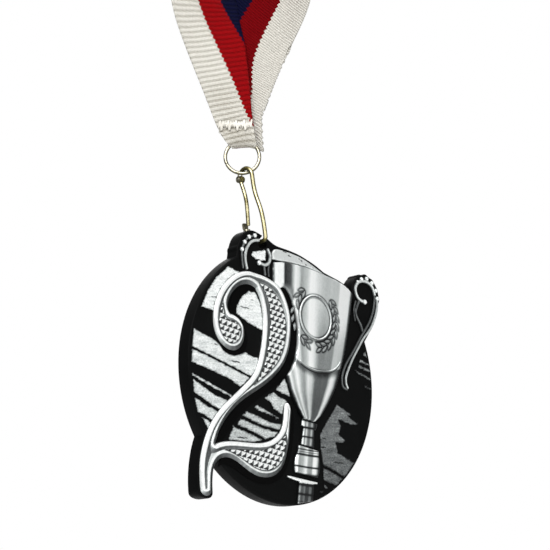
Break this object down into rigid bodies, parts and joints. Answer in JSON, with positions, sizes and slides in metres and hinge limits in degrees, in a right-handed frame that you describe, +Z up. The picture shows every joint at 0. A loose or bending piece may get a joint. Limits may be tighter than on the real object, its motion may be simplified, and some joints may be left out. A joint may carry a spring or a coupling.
{
  "type": "award medal on neck ribbon",
  "caption": "Round black and silver award medal with a place figure and trophy cup in relief, hung by snap hook and ring on a striped neck ribbon.",
  "frame": {"origin": "top underside of the ribbon's neck loop, where it hangs on a peg", "axes": "+Z up; the medal's face looks towards -Y and its width runs along X; the ribbon and the ring are turned 44.5 degrees about Z"},
  "size_m": [0.0821, 0.0604, 0.2255],
  "materials": {
    "ribbon_weave": "ribbed polyester ribbon in white, red and blue stripes",
    "thread": "white polyester thread",
    "ring_brass": "pale gold plating",
    "hook_brass": "pale gold plating",
    "hook_fittings": "pale gold plating, duller",
    "black_body": "satin black lacquer on cast zinc",
    "black_pad": "matt black lacquer",
    "brushed_silver": "antique silver, grainy",
    "silver_relief": "antique silver, polished edges",
    "figure_texture": "antique silver, small pyramids",
    "cup_silver": "antique silver, upright brushing",
    "cup_detail": "antique silver, darkened in the hollows",
    "handle_silver": "antique silver, dark"
  },
  "bodies": {
    "ribbon": {"ribbon_strap_front": "ribbon_weave", "ribbon_strap_back": "ribbon_weave", "ribbon_twist_left": "ribbon_weave", "ribbon_twist_right": "ribbon_weave", "ribbon_neck_loop": "ribbon_weave", "ribbon_ring_fold": "ribbon_weave", "ribbon_bar_tack": "thread"},
    "ring": {"jump_ring": "ring_brass"},
    "hook": {"hook_wire": "hook_brass", "hook_catch": "hook_fittings", "hook_rivet": "hook_fittings"},
    "gate": {"hook_gate": "hook_brass"},
    "medal": {"medal_body": "black_body", "brush_strokes_left": "brushed_silver", "brush_strokes_middle": "brushed_silver", "brush_strokes_right": "brushed_silver", "numeral_figure": "silver_relief", "numeral_shadow": "black_pad", "numeral_panel_stroke": "figure_texture", "numeral_panel_ball": "figure_texture", "numeral_panel_foot": "figure_texture", "cup_bowl": "cup_silver", "cup_rim": "cup_silver", "cup_band": "cup_detail", "cup_medallion": "cup_detail", "cup_wreath": "cup_detail", "cup_stem": "cup_silver", "cup_knop": "cup_silver", "cup_foot": "cup_silver", "handle_left": "handle_silver", "handle_right": "handle_silver"}
  },
  "joints": [
    {"name": "ring_swing", "type": "hinge", "parent": "ribbon", "child": "ring", "pos_m": [0.00023, -0.00023, -0.12487], "axis": [0.7132, -0.7009, 0], "range_deg": [-35, 35]},
    {"name": "hook_swing", "type": "hinge", "parent": "ring", "child": "hook", "pos_m": [0.0009, -0.00089, -0.13417], "axis": [0.6989, -0.6868, 0.1994], "range_deg": [-30, 30]},
    {"name": "medal_swing", "type": "hinge", "parent": "hook", "child": "medal", "pos_m": [0.0043, -0.00194, -0.15346], "axis": [0, 1, 0], "range_deg": [-20, 20]},
    {"name": "gate_flex", "type": "hinge", "parent": "hook", "child": "gate", "pos_m": [0.00114, 0.00146, -0.13553], "axis": [-0.9848, 0, -0.1736], "range_deg": [0, 12], "stiffness_Nm_per_rad": 0.01, "springref_deg": -5.73}
  ]
}
